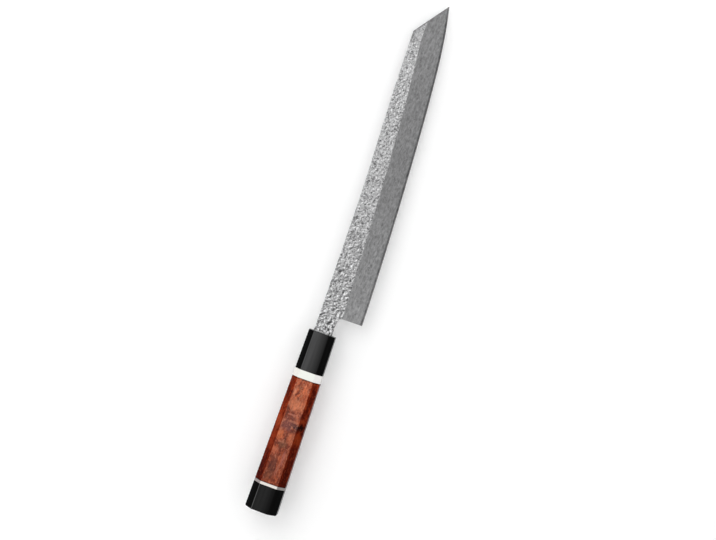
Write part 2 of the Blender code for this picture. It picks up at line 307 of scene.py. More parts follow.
def hammered(x, y, seed):
    """Depth of the hammered skin as a share of the deepest mark, and its shade, with painted light and shade
    on the marks' slopes and painted glints.
    """
    place = mark_place(x, y, seed)
    swirl = noise.noise_vector(place * SWIRL_SQUEEZE) * SWIRL_REACH
    blow = noise.noise(place * BLOW_SQUEEZE + swirl)
    # Painted light and shade: the relief's slope towards LIT_FROM
    painted_slope_light = relief(place + LIT_FROM, swirl) - relief(place - LIT_FROM, swirl)
    thread = abs(noise.noise(place * THREAD_SQUEEZE + swirl * THREAD_SWIRL + THREAD_SHIFT))
    short = soft_step(noise.noise(place * SHORT_SQUEEZE + SHORT_SHIFT), *SHORT_LIMITS)
    stroke = soft_step(thread, *THREAD_LIMITS) * short
    grit = noise.noise(place * GRIT_SQUEEZE + swirl + SHORT_SHIFT)
    # Painted glints where the grit and the lit slopes are high
    painted_glint = soft_step(grit + SPARK_TILT * painted_slope_light, *SPARK_LIMITS)
    far = soft_step(x, *FAR_SPAN)
    dot = soft_step(noise.noise(place * DOT_SQUEEZE + swirl + DOT_SHIFT), *DOT_LIMITS) * far
    dot *= between(1.0, DOTS_AT_TIP, soft_step(x, *DOT_SPAN))
    depth = MEAN_MARK - BLOW_DEPTH * clamp(blow * BLOW_GAIN, -1.0, 1.0) + STROKE_DEPTH * stroke
    broad = between(*BLOW_SHADES, soft_step(x, *BLOW_SPAN))
    contrast = between(between(NECK_CONTRAST, HEEL_CONTRAST, soft_step(x, *HEEL_SPAN)), FAR_CONTRAST, far)
    pattern = TILT_SHADE * painted_slope_light + GRIT_SHADE * grit + broad * blow - STROKE_SHADE * stroke
    shade = MEAN_SHADE + contrast * pattern
    shade += SPARK_SHADE * painted_glint - DOT_SHADE * dot + NECK_LIGHT * soft_step(x, *NECK_LIGHT_SPAN)
    dimming = TIP_DIMMING * soft_step(x, *TIP_DIMMING_SPAN)
    shade += MIDDLE_LIGHT * soft_step(x, *MIDDLE_LIGHT_SPAN) - dimming
    return clamp(depth), clamp(shade)


def calm_at(x):
    """0 where the skin is fully hammered, and 1 on the calm steel before the clip and along it."""
    return soft_step(x, SHOULDER_X - SMOOTHING_STARTS, SHOULDER_X - SMOOTHING_ENDS)


def skin_at(x, y, side, flat_z, slope):
    """Height of the hammered skin over the blade's middle plane, and its shade."""
    depth, shade = hammered(x, y, RIGHT_SEED if side > 0 else LEFT_SEED)
    calm = calm_at(x)
    reach = min(MARK_DEPTH, RAGGED_RIDGE * slope) * (1.0 - calm)
    calm_shade = CALM_SHADE + CALM_CONTRAST * (shade - MIDDLE_SHADE)
    return flat_z - (depth - MEAN_MARK) * reach, between(shade, calm_shade, calm)


def clip_line(x, y):
    """How far a place lies in the painted shade along the clip's rim, from 0 to 1."""
    if x < SHOULDER_X:
        return 0.0
    slope = (SHOULDER_RISE + TIP_DEPTH) / CLIP_LENGTH
    inside = (spine_y(x) - y) / math.sqrt(1.0 + slope * slope)
    grain = noise.noise(Vector((x * CLIP_LINE_GRAIN, y * CLIP_LINE_GRAIN, CLIP_LINE_LAYER)))
    return soft_step(inside + CLIP_LINE_RAGGED * grain, *CLIP_LINE_WIDTHS)


def ripple(x, side, grain, lane, layer):
    return noise.noise(Vector((x * grain, side * lane, layer)))


def scallop(x, side):
    """How deep the hammering bites into the spine at x."""
    wave = ripple(x, side, *SCALLOP_RIPPLE) + SCALLOP_FINE * ripple(x, side, *SCALLOP_FINE_RIPPLE)
    bite = SCALLOP * clamp(SCALLOP_MEAN + SCALLOP_GAIN * wave)
    bite *= between(1.0, SCALLOP_FAR, soft_step(x, *SCALLOP_SPAN))
    return bite * (1.0 - soft_step(x, SHOULDER_X - SCALLOP_END, SHOULDER_X))


def side_points(x, side):
    """One side of the blade at x, from the spine to the edge: y, z, shade, and how hammered it is."""
    top = spine_y(x) - scallop(x, side)
    ridge = ridge_y(x)
    flat_z = half_thickness(x)
    edge = edge_y(max(x, HEEL_X))
    ground_half = min(GROUND_EDGE_THICKNESS, flat_z) / 2
    low = edge + min(GROUND_EDGE_WIDTH, (ridge - edge) / 2)
    slope = (flat_z - ground_half) / max(ridge - low, NARROWEST_BEVEL)
    calm = calm_at(x)
    points = []
    for i in range(FLAT_COLUMNS + 1):
        t = i / FLAT_COLUMNS
        y = between(top, ridge, t)
        z, shade = skin_at(x, y, side, flat_z, slope)
        shade += between(*SPINE_MARGIN_LIGHT, calm) * soft_step(top - y, *SPINE_MARGIN)
        shade += calm * between(*CALM_SLOPE, t)
        points.append((y, z, between(shade, CLIP_LINE_SHADE, clip_line(x, y)), 1.0))
    if x < HEEL_X:
        return points
    rim = min(RIM_WIDTH, RIM_SHARE * (ridge - low))
    places = [ridge - rim * (i + 1) / RIM_COLUMNS for i in range(RIM_COLUMNS)]
    column = (ridge - rim - low) / BEVEL_COLUMNS
    places += [ridge - rim - column * (i + 1) for i in range(BEVEL_COLUMNS - 1)]
    places += [low + min(EDGE_LINE_WIDTH, column / 2), low]
    for y in places:
        u = (ridge - y) / (ridge - low) if ridge > low else 1.0
        plane = between(flat_z, ground_half, u)
        skin, shade = skin_at(x, y, side, flat_z, slope)
        left = soft_step(plane - skin, *HAMMERED_LIMITS) if x < SHOULDER_X else 0.0
        shade = between(between(MIDDLE_SHADE, shade, left), CLIP_LINE_SHADE, clip_line(x, y))
        points.append((y, min(plane, skin), shade, left))
    # The last column, at the cutting edge, gets a painted dark reflection
    y, z, _, left = points[-1]
    points[-1] = (y, z, EDGE_LINE_SHADE + EDGE_LINE_SPREAD * ripple(x, side, *EDGE_LINE_RIPPLE), left)
    return points


def stations():
    """Places along the neck and along the blade, which both include the heel."""
    neck_count = round((HEEL_X + NECK_SEAT) / STATION_STEP)
    neck = [between(-NECK_SEAT, HEEL_X, i / neck_count) for i in range(neck_count + 1)]
    blade = [HEEL_X]
    for start, end in ((HEEL_X, SHOULDER_X), (SHOULDER_X, RIDGE_END_X), (RIDGE_END_X, TIP_X)):
        count = round((end - start) / STATION_STEP)
        blade += [between(start, end, (i + 1) / count) for i in range(count)]
    return neck, blade


class Shell:
    """Vertices with a shade and a finish, and faces with a material, gathered for one mesh."""

    def __init__(self):
        self.places = []
        self.shades = []
        self.finishes = []
        self.faces = []
        self.slots = []

    def point(self, place, shade=PLAIN_SHADE, finish=0.0):
        self.places.append(place)
        self.shades.append(shade)
        self.finishes.append(finish)
        return len(self.places) - 1

    def face(self, corners, slot):
        self.faces.append(corners)
        self.slots.append(slot)

    def mesh(self, name):
        made = bpy.data.meshes.new(name)
        made.from_pydata(self.places, [], self.faces)
        for label, values in (("shade", self.shades), ("hammered", self.finishes)):
            made.attributes.new(label, "FLOAT", "POINT").data.foreach_set("value", values)
        made.polygons.foreach_set("material_index", self.slots)
        return made


# Places of the blade's materials in its list
SIDES_SLOT = 0
GROUND_SLOT = 1
RIM_SLOT = 2


def strip(x, start, end):
    """Places between the two sides, on the spine or the belly, without the ends."""
    found = []
    for i in range(SPINE_COLUMNS):
        u = (i + 1) / (SPINE_COLUMNS + 1)
        found.append((x, between(start[0], end[0], u), between(start[1], end[1], u)))
    return found


def add_row(shell, x, with_bevel):
    """One closed row of points round the blade at x, and the material of each gap after a point."""
    right = side_points(x, 1.0)
    left = side_points(x, -1.0)
    if not with_bevel:
        right = right[: FLAT_COLUMNS + 1]
        left = left[: FLAT_COLUMNS + 1]
    row = [shell.point((x, y, z), shade, finish) for y, z, shade, finish in right]
    slots = [SIDES_SLOT] * (len(row) - 1)
    if with_bevel:
        row.append(shell.point((x, edge_y(x), 0.0)))
        slots += [GROUND_SLOT, GROUND_SLOT]
    else:
        low = strip(x, right[-1][:2], (left[-1][0], -left[-1][1]))
        row += [shell.point(place, BELLY_SHADE, 1.0) for place in low]
        slots += [RIM_SLOT] * (SPINE_COLUMNS + 1)
    row += [shell.point((x, y, -z), shade, finish) for y, z, shade, finish in reversed(left)]
    slots += [SIDES_SLOT] * (len(left) - 1)
    high = strip(x, (left[0][0], -left[0][1]), right[0][:2])
    row += [shell.point(place, SPINE_SHADE, 1.0) for place in high]
    slots += [RIM_SLOT] * (SPINE_COLUMNS + 1)
    return row, slots


def add_bar_row(shell, x, half_height, half):
    """A row of the tang with as many points as a row of the neck."""
    heights = [between(half_height, -half_height, i / FLAT_COLUMNS) for i in range(FLAT_COLUMNS + 1)]
    row = [shell.point((x, y, half)) for y in heights]
    row += [shell.point(place) for place in strip(x, (-half_height, half), (-half_height, -half))]
    row += [shell.point((x, y, -half)) for y in reversed(heights)]
    row += [shell.point(place) for place in strip(x, (half_height, -half), (half_height, half))]
    return row


def skin_rows(shell, back, front, slots):
    count = len(back)
    for i in range(count):
        after = (i + 1) % count
        shell.face((back[i], back[after], front[after], front[i]), slots[i])


def build_blade():
    shell = Shell()
    neck_places, blade_places = stations()
    neck_rows = [add_row(shell, x, False) for x in neck_places]
    tang = [
        add_bar_row(shell, TANG_END_X, TANG_END_HALF, TANG_END_THICKNESS / 2),
        add_bar_row(shell, -(NECK_SEAT + TANG_SHOULDER), TANG_HALF, SPINE_THICKNESS / 2),
    ]
    rows = tang + [row for row, _ in neck_rows]
    neck_slots = neck_rows[0][1]
    for back, front in zip(rows, rows[1:]):
        skin_rows(shell, back, front, neck_slots)
    shell.face(tuple(reversed(tang[0])), RIM_SLOT)
    blade_rows = [add_row(shell, x, True) for x in blade_places]
    for (back, slots), (front, _) in zip(blade_rows, blade_rows[1:]):
        skin_rows(shell, back, front, slots)

    # The heel's face closes the step from the neck's last row to the blade's first one
    first_blade = blade_rows[0][0]
    bevel_end = len(first_blade) - FLAT_COLUMNS - 1 - SPINE_COLUMNS
    heel = first_blade[FLAT_COLUMNS : bevel_end + 1]
    belly = rows[-1][FLAT_COLUMNS + 1 : FLAT_COLUMNS + 1 + SPINE_COLUMNS]
    shell.face(tuple(reversed(heel)) + tuple(belly), RIM_SLOT)

    mesh = shell.mesh("blade_looks")
    bm = bmesh.new()
    bm.from_mesh(mesh)
    bmesh.ops.remove_doubles(bm, verts=bm.verts, dist=MERGE_DISTANCE)
    bmesh.ops.dissolve_degenerate(bm, edges=bm.edges, dist=MERGE_DISTANCE)
    bmesh.ops.recalc_face_normals(bm, faces=bm.faces)
    bm.to_mesh(mesh)
    bm.free()
    mesh.shade_smooth()
    mesh.set_sharp_from_angle(angle=BLADE_SHARP_ANGLE)
    return mesh


# Shape of the handle


def octagon_ring(x, inset):
    """The handle's outline at x with slightly crowned facets and rounded corners."""
    u = x / BUTT_X
    half_height = between(FRONT_HEIGHT, BUTT_HEIGHT, u) / 2 - inset
    half_width = between(FRONT_WIDTH, BUTT_WIDTH, u) / 2 - inset
    facet = between(FRONT_FACET, BUTT_FACET, u) - inset * (2.0 - math.sqrt(2.0))
    quarter = [Vector((half_height, half_width - facet)), Vector((half_height - facet, half_width))]
    corners = quarter + [Vector((-c.x, c.y)) for c in reversed(quarter)]
    corners += [-c for c in corners]
    ring = []
    for here, after, beyond in zip(corners, corners[1:] + corners[:1], corners[2:] + corners[:2]):
        run = (after - here).normalized()
        out = Vector((-run.y, run.x))
        if out.dot(here + after) < 0.0:
            out = -out
        start = here + run * CORNER_EASE
        end = after - run * CORNER_EASE
        for i in range(FACET_COLUMNS + 1):
            t = i / FACET_COLUMNS
            ring.append(start.lerp(end, t) - out * CROWN * (2.0 * t - 1.0) ** 2)
        next_run = (beyond - after).normalized()
        away = after.normalized() * CROWN
        for i in range(1, CORNER_COLUMNS):
            t = i / CORNER_COLUMNS
            a = end.lerp(after, t)
            b = after.lerp(after + next_run * CORNER_EASE, t)
            ring.append(a.lerp(b, t) - away)
    return [(x, point.x, point.y) for point in ring]


def loft(rings):
    bm = bmesh.new()
    rows = [[bm.verts.new(p) for p in ring] for ring in rings]
    for back, front in zip(rows, rows[1:]):
        for i in range(len(back)):
            after = (i + 1) % len(back)
            bm.faces.new((back[i], back[after], front[after], front[i]))
    bm.faces.new(rows[0][::-1])
    bm.faces.new(rows[-1])
    bmesh.ops.recalc_face_normals(bm, faces=bm.faces)
    return bm


def add_to_scene(name, data):
    made = bpy.data.objects.new(name, data)
    bpy.context.scene.collection.objects.link(made)
    return made


def add_object(bm, name):
    mesh = bpy.data.meshes.new(name)
    bm.to_mesh(mesh)
    bm.free()
    return add_to_scene(name, mesh)


def round_rings(end_x, radius, inwards):
    """Rings that round off one end of a section, from its end face inwards, which is 1 or -1 along x."""
    rings = []
    for i in reversed(range(ROUND_ROWS + 1)):
        turn = math.radians(90.0 / ROUND_ROWS * i)
        depth = radius * (1.0 - math.sin(turn))
        inset = radius * (1.0 - math.cos(turn))
        rings.append(octagon_ring(end_x + inwards * depth, inset))
    return rings


def section(name, front_x, back_x, front_round, back_round):
    rings = round_rings(back_x, back_round, 1.0)
    for i in range(1, SECTION_ROWS):
        x = between(back_x + back_round, front_x - front_round, i / SECTION_ROWS)
        rings.append(octagon_ring(x, 0.0))
    rings += reversed(round_rings(front_x, front_round, -1.0))
    return add_object(loft(rings), name)


def rod(name, radius, front_x, back_x):
    bm = bmesh.new()
    bmesh.ops.create_cone(
        bm, cap_ends=True, segments=BORE_SEGMENTS, radius1=radius, radius2=radius, depth=front_x - back_x
    )
    middle = Matrix.Translation(((front_x + back_x) / 2, 0.0, 0.0))
    bm.transform(middle @ Matrix.Rotation(math.pi / 2, 4, "Y"))
    return add_object(bm, name)


def box(name, front_x, back_x, height, width):
    bm = bmesh.new()
    bmesh.ops.create_cube(bm, size=1.0)
    middle = Matrix.Translation(((front_x + back_x) / 2, 0.0, 0.0))
    bm.transform(middle @ Matrix.Diagonal((front_x - back_x, height, width, 1.0)))
    return add_object(bm, name)


def carve(piece, cutters):
    """Cuts the bores into a piece and keeps the result as its plain mesh."""
    for cutter in cutters:
        hole = piece.modifiers.new(cutter.name, "BOOLEAN")
        hole.operation = "DIFFERENCE"
        hole.solver = "EXACT"
        hole.object = cutter
    bpy.context.view_layer.update()
    seen = piece.evaluated_get(bpy.context.evaluated_depsgraph_get())
    mesh = bpy.data.meshes.new_from_object(seen)
    piece.modifiers.clear()
    piece.data = mesh


# Materials


class Nodes:
    """Short calls for building one node tree."""

    def __init__(self, tree):
        self.tree = tree

    def node(self, kind, **settings):
        made = self.tree.nodes.new(kind)
        for key, value in settings.items():
            setattr(made, key, value)
        return made

    def feed(self, socket, value):
        """Puts a number, a place, a colour or another node's output into a socket."""
        if isinstance(value, bpy.types.NodeSocket):
            self.tree.links.new(value, socket)
        elif socket.type == "RGBA":
            socket.default_value = (*value, 1.0)
        else:
            socket.default_value = value

    def fill(self, node, values):
        for name, value in values.items():
            self.feed(node.inputs[name], value)

    def math(self, kind, a, b):
        made = self.node("ShaderNodeMath", operation=kind)
        self.feed(made.inputs[0], a)
        self.feed(made.inputs[1], b)
        return made.outputs[0]

    def vector_math(self, kind, *values):
        made = self.node("ShaderNodeVectorMath", operation=kind)
        for socket, value in zip(made.inputs, values):
            self.feed(socket, value)
        return made.outputs

    def mix(self, share, a, b, kind="MIX"):
        """Mixes two colours, which the node takes in its places 6 and 7 and gives back in place 2."""
        made = self.node("ShaderNodeMix", data_type="RGBA", blend_type=kind)
        self.feed(made.inputs[0], share)
        self.feed(made.inputs[6], a)
        self.feed(made.inputs[7], b)
        return made.outputs[2]

    def ramp(self, value, stops):
        made = self.node("ShaderNodeValToRGB")
        elements = made.color_ramp.elements
        while len(elements) < len(stops):
            elements.new(0.5)
        for element, (place, colour) in zip(elements, stops):
            element.position = place
            element.color = (*colour, 1.0)
        self.feed(made.inputs["Fac"], value)
        return made.outputs["Color"]

    def grey_ramp(self, value, stops, blue=1.0):
        """A ramp of greys, whose blue is that many times as strong as their red and green."""
        return self.ramp(value, [(place, (level, level, level * blue)) for place, level in stops])

    def seen_directly(self):
        """1 for what the camera, a reflection or a glass sees, and 0 for light on matt surfaces."""
        path = self.node("ShaderNodeLightPath").outputs
        by_eye = self.math("MAXIMUM", path["Is Camera Ray"], path["Is Glossy Ray"])
        return self.math("MAXIMUM", by_eye, path["Is Transmission Ray"])


# Bands at the ends of the handle's pieces, each from and to a distance off the end, and the facets' blur
BUTT_MARGIN = (0.0001, 0.0004)
MOUTH_MARGIN = (0.0001, 0.0003)
GRIP_MARGIN = (0.0002, 0.0011)
FACET_BLUR = 0.03


class Paint(Nodes):
    """The nodes of one material, in the knife's own coordinates."""

    def __init__(self, name):
        self.material = bpy.data.materials.new(name)
        self.material.use_nodes = True
        super().__init__(self.material.node_tree)
        self.shader = self.tree.nodes["Principled BSDF"]
        place = self.node("ShaderNodeMapping", vector_type="TEXTURE")
        in_frame = self.node("ShaderNodeTexCoord").outputs["Object"]
        self.fill(place, {"Vector": in_frame, "Location": KNIFE_AT, "Rotation": (0.0, PITCH, 0.0)})
        self.coords = place.outputs["Vector"]

    def set(self, **values):
        self.fill(self.shader, {key.replace("_", " "): value for key, value in values.items()})

    def noise(self, scale, detail, roughness, distortion=0.0, shift=(0.0, 0.0, 0.0)):
        """Noise with its own scale along each axis, per metre."""
        stretch = self.node("ShaderNodeMapping")
        self.fill(stretch, {"Vector": self.coords, "Scale": scale, "Location": shift})
        made = self.node("ShaderNodeTexNoise")
        self.fill(made, {"Vector": stretch.outputs["Vector"], "Scale": 1.0})
        self.fill(made, {"Detail": detail, "Roughness": roughness, "Distortion": distortion})
        return made.outputs["Fac"]

    def attribute(self, name):
        return self.node("ShaderNodeAttribute", attribute_name=name).outputs["Fac"]

    def spread(self, value, low, high, to_low=0.0, to_high=1.0):
        """Turns the range low to high of a value into another one, clamped."""
        made = self.node("ShaderNodeMapRange")
        self.fill(made, {"Value": value, "From Min": low, "From Max": high})
        self.fill(made, {"To Min": to_low, "To Max": to_high})
        return made.outputs["Result"]

    def bump(self, height, strength, distance):
        made = self.node("ShaderNodeBump")
        self.fill(made, {"Height": height, "Strength": strength, "Distance": distance})
        self.feed(self.shader.inputs["Normal"], made.outputs["Normal"])

    def axis(self, letter):
        """The place along one axis of the knife, in metres from the middle of the ferrule's front."""
        split = self.node("ShaderNodeSeparateXYZ")
        self.feed(split.inputs[0], self.coords)
        return split.outputs[letter]

    def facet_share(self):
        """-1 at the edge side corner of the handle's wide facets and 1 at the spine side one."""
        front = FRONT_HEIGHT / 2 - FRONT_FACET
        growth = (BUTT_HEIGHT / 2 - BUTT_FACET - front) / BUTT_X
        half = self.math("ADD", self.math("MULTIPLY", self.axis("X"), growth), front)
        return self.math("DIVIDE", self.axis("Y"), half)

    def across_facet(self):
        return self.spread(self.facet_share(), -1.0, 1.0)

    def on_side_facets(self):
        """1 on the two large flat facets of the handle, 0 on its bevels, spine and belly."""
        distance = self.math("ABSOLUTE", self.facet_share(), 0.0)
        return self.spread(distance, 1.0 - FACET_BLUR, 1.0 + FACET_BLUR, 1.0, 0.0)

    def off_ends(self, back, back_margin, front, front_margin):
        """0 at two places along the handle, and 1 between them, past their margins."""
        from_back = self.spread(self.axis("X"), back + back_margin[0], back + back_margin[1])
        from_front = self.spread(self.axis("X"), front - front_margin[0], front - front_margin[1])
        return self.math("MINIMUM", from_back, from_front)


# Nearly all of a noise's values lie in NOISE_RANGE. A value of four numbers is a range and what it becomes,
# and pairs are the stops of a ramp
NOISE_RANGE = (0.3, 0.7)

# Steel and horn, whose greys are a little blue
COOL = 1.01
SKIN_GRAIN = (0.25, 0.75, -0.19, 0.19)
SKIN_TONES = ((0.05, 0.025), (0.28, 0.16), (0.50, 0.41), (0.68, 0.65), (0.90, 0.98))
# Painted shade: the satin bevel's greys are darker than the hammered flat's, for its tilted faces
SATIN_TONES = ((0.0, 0.0), (1.0, 0.47))
SATIN_SCALE = 0.5
SATIN_BLOTCHES = (*NOISE_RANGE, 0.76, 1.24)
SATIN_STREAKS = (*NOISE_RANGE, -0.22, 0.22)
SATIN_DOTS = (0.66, 0.76, 0.0, 0.30)
SATIN_DOT_SHIFT = (5.0, 3.0, 1.0)
# The satin darkens with the skin's shade, so it carries the painted lines along the cutting edge and the
# clip
SATIN_MARGIN = (0.10, 0.50, 0.30, 1.0)
SATIN_BY_HEEL = (0.020, 0.115, 1.36, 1.0)
SATIN_BY_MIDDLE = (0.130, 0.180, 1.055, 1.0)
# Painted dark reflection: the ground cutting edge's greys
GROUND_TONES = ((0.36, 0.026), (0.50, 0.078), (0.66, 0.15))
RIM_TONES = ((0.30, 0.16), (0.55, 0.30), (0.75, 0.42))
HORN_TONES = ((0.30, 0.0010), (0.55, 0.0026), (0.80, 0.0060))
HORN_STREAKS = ((0.28, 0.72), (0.50, 0.95), (0.62, 1.0))
# Painted shade: the horn is darker towards the spine side, on its bevels and spine
HORN_PAINTED_SHADE_BY_SIDE = ((0.30, 1.0), (0.70, 0.25))
HORN_SPECULAR = 0.02
# Painted sheen on the horn's wide facets, by place across them from the edge side to the spine side: an
# overhead light's reflection painted into the colour. The cap's last stops paint a highlight line along its
# spine-side corner
FERRULE_PAINTED_SHEEN = (
    (0.0, 0.010), (0.12, 0.023), (0.30, 0.034), (0.50, 0.049), (0.72, 0.064), (0.93, 0.066), (1.0, 0.094)
)
CAP_PAINTED_SHEEN = (
    (0.0, 0.004), (0.12, 0.009), (0.30, 0.014), (0.50, 0.019), (0.72, 0.019), (0.955, 0.017), (0.985, 0.110)
)


def steel_sides():
    """Hammered flat and satin bevel in one skin, told apart by the mesh's own attributes."""
    paint = Paint("forged_steel_sides")
    shade = paint.attribute("shade")
    hammered_share = paint.attribute("hammered")
    grain = paint.noise((950.0, 950.0, 950.0), detail=2.0, roughness=0.6)
    skin_value = paint.math("ADD", shade, paint.spread(grain, *SKIN_GRAIN))
    blotch = paint.noise((380.0, 560.0, 560.0), detail=3.0, roughness=0.6, distortion=0.3)
    streak = paint.noise((260.0, 1500.0, 1500.0), detail=3.0, roughness=0.6)
    dot = paint.noise((620.0, 620.0, 620.0), detail=1.0, roughness=0.5, shift=SATIN_DOT_SHIFT)
    tone = paint.spread(blotch, *SATIN_BLOTCHES)
    tone = paint.math("ADD", tone, paint.spread(streak, *SATIN_STREAKS))
    tone = paint.math("SUBTRACT", tone, paint.spread(dot, *SATIN_DOTS))
    tone = paint.math("MULTIPLY", tone, paint.spread(shade, *SATIN_MARGIN))
    tone = paint.math("MULTIPLY", tone, paint.spread(paint.axis("X"), *SATIN_BY_HEEL))
    tone = paint.math("MULTIPLY", tone, paint.spread(paint.axis("X"), *SATIN_BY_MIDDLE))
    # Painted shade keeps the satin bevel darker than the hammered flat
    satin = paint.grey_ramp(paint.math("MULTIPLY", tone, SATIN_SCALE), SATIN_TONES, COOL)
    paint.set(
        Base_Color=paint.mix(hammered_share, satin, paint.grey_ramp(skin_value, SKIN_TONES, COOL)),
        Metallic=1.0,
        Roughness=paint.spread(hammered_share, 0.0, 1.0, 0.40, 0.32),
    )
    fine = paint.noise((300.0, 3800.0, 1200.0), detail=3.0, roughness=0.6)
    paint.bump(paint.math("ADD", fine, grain), strength=0.12, distance=0.0002)
    return paint.material


def steel_ground():
    paint = Paint("forged_steel_cutting_edge")
    streak = paint.noise((600.0, 1500.0, 1500.0), detail=3.0, roughness=0.6)
    # Its dark greys are a painted dark reflection along the cutting edge
    paint.set(
        Base_Color=paint.grey_ramp(streak, GROUND_TONES, COOL),
        Metallic=1.0,
        Roughness=paint.spread(streak, *NOISE_RANGE, 0.26, 0.38),
    )
    return paint.material


def steel_rim():
    paint = Paint("forged_steel_rims")
    streak = paint.noise((500.0, 900.0, 2600.0), detail=4.0, roughness=0.65)
    paint.set(
        Base_Color=paint.grey_ramp(streak, RIM_TONES, COOL),
        Metallic=1.0,
        Roughness=paint.spread(streak, *NOISE_RANGE, 0.34, 0.50),
    )
    paint.bump(streak, strength=0.25, distance=0.0003)
    return paint.material


def black_horn(name, sheen):
    """Polished horn, near black, with a painted greyer sheen on its wide facets that fades towards the edge
    side, and painted shade on its bevels towards the spine side.
    """
    paint = Paint(name)
    streak = paint.noise((14.0, 420.0, 420.0), detail=4.0, roughness=0.65, distortion=0.6)
    cloud = paint.noise((60.0, 160.0, 160.0), detail=3.0, roughness=0.6)
    # Painted shade: darker towards the spine side
    painted_side_shading = paint.grey_ramp(paint.across_facet(), HORN_PAINTED_SHADE_BY_SIDE)
    dark = paint.mix(1.0, paint.grey_ramp(streak, HORN_TONES, COOL), painted_side_shading, "MULTIPLY")
    streaks = paint.grey_ramp(streak, HORN_STREAKS, COOL)
    # Painted sheen on the wide facets, streaked like the horn
    pale = paint.mix(1.0, paint.grey_ramp(paint.across_facet(), sheen), streaks, "MULTIPLY")
    off_ends = paint.off_ends(BUTT_X, BUTT_MARGIN, 0.0, MOUTH_MARGIN)
    paint.set(
        Base_Color=paint.mix(paint.math("MULTIPLY", paint.on_side_facets(), off_ends), dark, pale),
        Roughness=paint.spread(cloud, *NOISE_RANGE, 0.09, 0.15),
        Specular_IOR_Level=HORN_SPECULAR,
    )
    fine = paint.noise((60.0, 2600.0, 2600.0), detail=2.0, roughness=0.6)
    paint.bump(fine, strength=0.05, distance=0.0002)
    return paint.material


# White resin: its colours on the wide facets, and the painted light and shade of its bevels towards the
# spine and towards the edge, its clouds and specks
FRONT_WHITES = ((0.85, 0.87, 0.81), (0.80, 0.78, 0.73), (1.0, 0.98, 0.95))
REAR_WHITES = ((0.80, 0.75, 0.70), (0.27, 0.23, 0.22), (0.24, 0.22, 0.21))
WHITE_CLOUDS = ((0.30, 0.93), (0.70, 1.0))
WHITE_SPECK = (0.62, 0.58, 0.50)
SPECK_SHARES = (0.66, 0.74, 0.0, 0.20)
WHITE_SPECULAR = 0.9


def white_spacer(name, whites):
    """Dense white resin, with painted light and shade on its bevels. Each of its colours is the palest that
    it has on its facets.
    """
    wide, spine, edge = whites
    paint = Paint(name)
    cloud = paint.noise((350.0, 220.0, 220.0), detail=4.0, roughness=0.6, distortion=0.5)
    speck = paint.noise((1500.0, 1500.0, 1500.0), detail=2.0, roughness=0.6)
    # Painted light and shade on the bevels, towards the edge and towards the spine
    painted_side_shading = paint.mix(paint.spread(paint.facet_share(), -0.5, 0.5), edge, spine)
    body = paint.mix(paint.on_side_facets(), painted_side_shading, wide)
    body = paint.mix(1.0, body, paint.grey_ramp(cloud, WHITE_CLOUDS), "MULTIPLY")
    paint.set(
        Base_Color=paint.mix(paint.spread(speck, *SPECK_SHARES), body, WHITE_SPECK),
        Roughness=paint.spread(cloud, *NOISE_RANGE, 0.28, 0.38),
        Specular_IOR_Level=WHITE_SPECULAR,
    )
    return paint.material


# What is inside the handle
HARDWOOD_TONES = ((0.30, (0.40, 0.26, 0.14)), (0.55, (0.56, 0.39, 0.23)), (0.75, (0.64, 0.47, 0.30)))
RESIN_TONES = ((0.30, (0.060, 0.036, 0.018)), (0.70, (0.12, 0.075, 0.038)))


def pale_hardwood():
    paint = Paint("pale_hardwood")
    grain = paint.noise((40.0, 900.0, 900.0), detail=5.0, roughness=0.65, distortion=0.4)
    paint.set(
        Base_Color=paint.ramp(grain, HARDWOOD_TONES),
        Roughness=paint.spread(grain, *NOISE_RANGE, 0.52, 0.68),
    )
    paint.bump(grain, strength=0.2, distance=0.0003)
    return paint.material


def amber_resin():
    paint = Paint("amber_resin")
    cloud = paint.noise((500.0, 500.0, 500.0), detail=3.0, roughness=0.6)
    paint.set(
        Base_Color=paint.ramp(cloud, RESIN_TONES),
        Roughness=paint.spread(cloud, *NOISE_RANGE, 0.22, 0.34),
    )
    return paint.material


# Burl wood: the colours of its figure, from its darkest to its palest, and of what lies over them, among
# them painted shade on the bevels and a painted reflection on the wide facets
FLOW_SHARE = 0.58
MOTTLE_SHARE = 0.42
MOTTLE_SHIFT = (2.0, 6.0, 3.0)
BLOT_SHIFT = (3.1, 8.2, 1.4)
RAGGED_SHIFT = (9.0, 2.0, 4.0)
PALE_SHIFT = (4.0, 1.0, 7.0)
BURL_FIGURE = (
    (0.40, (0.100, 0.011, 0.004)),
    (0.455, (0.20, 0.028, 0.009)),
    (0.50, (0.31, 0.057, 0.020)),
    (0.545, (0.45, 0.098, 0.037)),
    (0.60, (0.62, 0.174, 0.078)),
)
BLOT_TINT = (0.16, 0.023, 0.011)
BLOT_SHARES = (0.52, 0.68, 0.0, 0.50)
PORE_TINT = (0.085, 0.015, 0.007)
PORE_SHARES = (0.53, 0.63, 0.0, 0.55)
PALE_TINT = (0.56, 0.215, 0.130)
PALE_SHARES = (0.54, 0.66, 0.0, 0.62)
END_TINT = (0.35, 0.28, 0.28)
BEVEL_PAINTED_SHADE = (0.53, 0.26, 0.155)
PAINTED_REFLECTION = (0.030, 0.030, 0.027)
BURL_SPAN = (-0.040, -0.112)
BURL_TO_REAR = ((0.10, (1.0, 0.94, 0.86)), (0.50, (0.84, 0.77, 0.74)), (0.90, (0.62, 0.53, 0.51)))
BURL_SPECULAR = 0.02
SPOT_RIM = (0.55, 1.15)
SPOT_WOBBLE = (0.25, 0.75, -0.42, 0.42)
